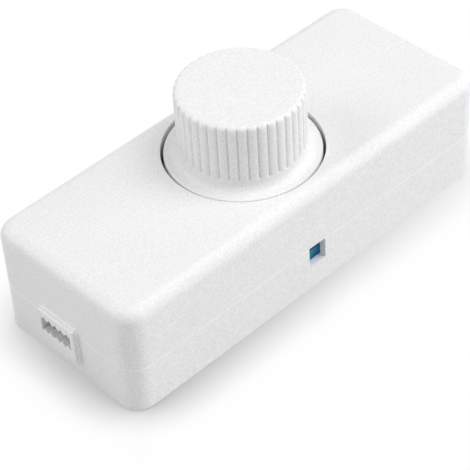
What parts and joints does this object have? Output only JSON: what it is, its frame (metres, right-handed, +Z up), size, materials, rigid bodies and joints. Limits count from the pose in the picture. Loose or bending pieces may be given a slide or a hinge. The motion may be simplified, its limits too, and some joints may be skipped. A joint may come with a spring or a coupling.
{
  "type": "rotary cord dimmer",
  "caption": "White inline lamp-cord dimmer: long rounded split case, fluted turning knob in a flush well, toothed cord ports at the ends and a screwdriver preset in a side window.",
  "frame": {"origin": "centre of the case's underside, on the knob's axis", "axes": "+X along the case towards the load cord, +Y away from the preset's window, +Z up the knob's axis"},
  "size_m": [0.1022, 0.04, 0.0415],
  "materials": {
    "case_plastic": "fine spark-eroded grain",
    "knob_plastic": "satin",
    "preset_plastic": "moulded",
    "plated_steel": "bright zinc",
    "contact_metal": "rolled strip",
    "board_laminate": "solder-masked",
    "track_laminate": "punched",
    "terminal_plastic": "moulded",
    "black_epoxy": "transfer moulded",
    "ferrite": "sintered",
    "copper_wire": "enamelled",
    "film_case": "moulded",
    "fuse_glass": "drawn tube",
    "resistor_lacquer": "dipped"
  },
  "bodies": {
    "case": {"top_cover": "case_plastic", "base_shell": "case_plastic", "case_screws": "plated_steel", "pot_frame": "plated_steel", "pot_washer": "plated_steel", "pot_nut": "plated_steel", "pot_wafer": "track_laminate", "pot_terminals": "plated_steel", "pot_can": "plated_steel", "circuit_board": "board_laminate", "board_screws": "plated_steel", "trimmer_body": "preset_plastic", "line_terminal_block": "terminal_plastic", "load_terminal_block": "terminal_plastic", "terminal_screws": "plated_steel", "triac_body": "black_epoxy", "triac_leadframe": "plated_steel", "choke_core": "ferrite", "choke_winding": "copper_wire", "film_capacitor": "film_case", "fuse_tube": "fuse_glass", "fuse_caps": "plated_steel", "fuse_clips": "contact_metal", "diac": "black_epoxy", "resistors": "resistor_lacquer", "component_leads": "plated_steel"},
    "knob_shaft": {"knob": "knob_plastic", "pot_shaft": "plated_steel", "shaft_clip": "plated_steel", "pot_rotor": "black_epoxy", "pot_wiper": "contact_metal"},
    "preset_rotor": {"trimmer_rotor": "preset_plastic"}
  },
  "joints": [
    {"name": "knob_turn", "type": "hinge", "parent": "case", "child": "knob_shaft", "pos_m": [0, 0, 0.03], "axis": [0, 0, 1], "range_deg": [-150, 150]},
    {"name": "preset_turn", "type": "hinge", "parent": "case", "child": "preset_rotor", "pos_m": [0.0005, -0.0174, 0.00885], "axis": [0, 1, 0], "range_deg": [-120, 120]}
  ]
}
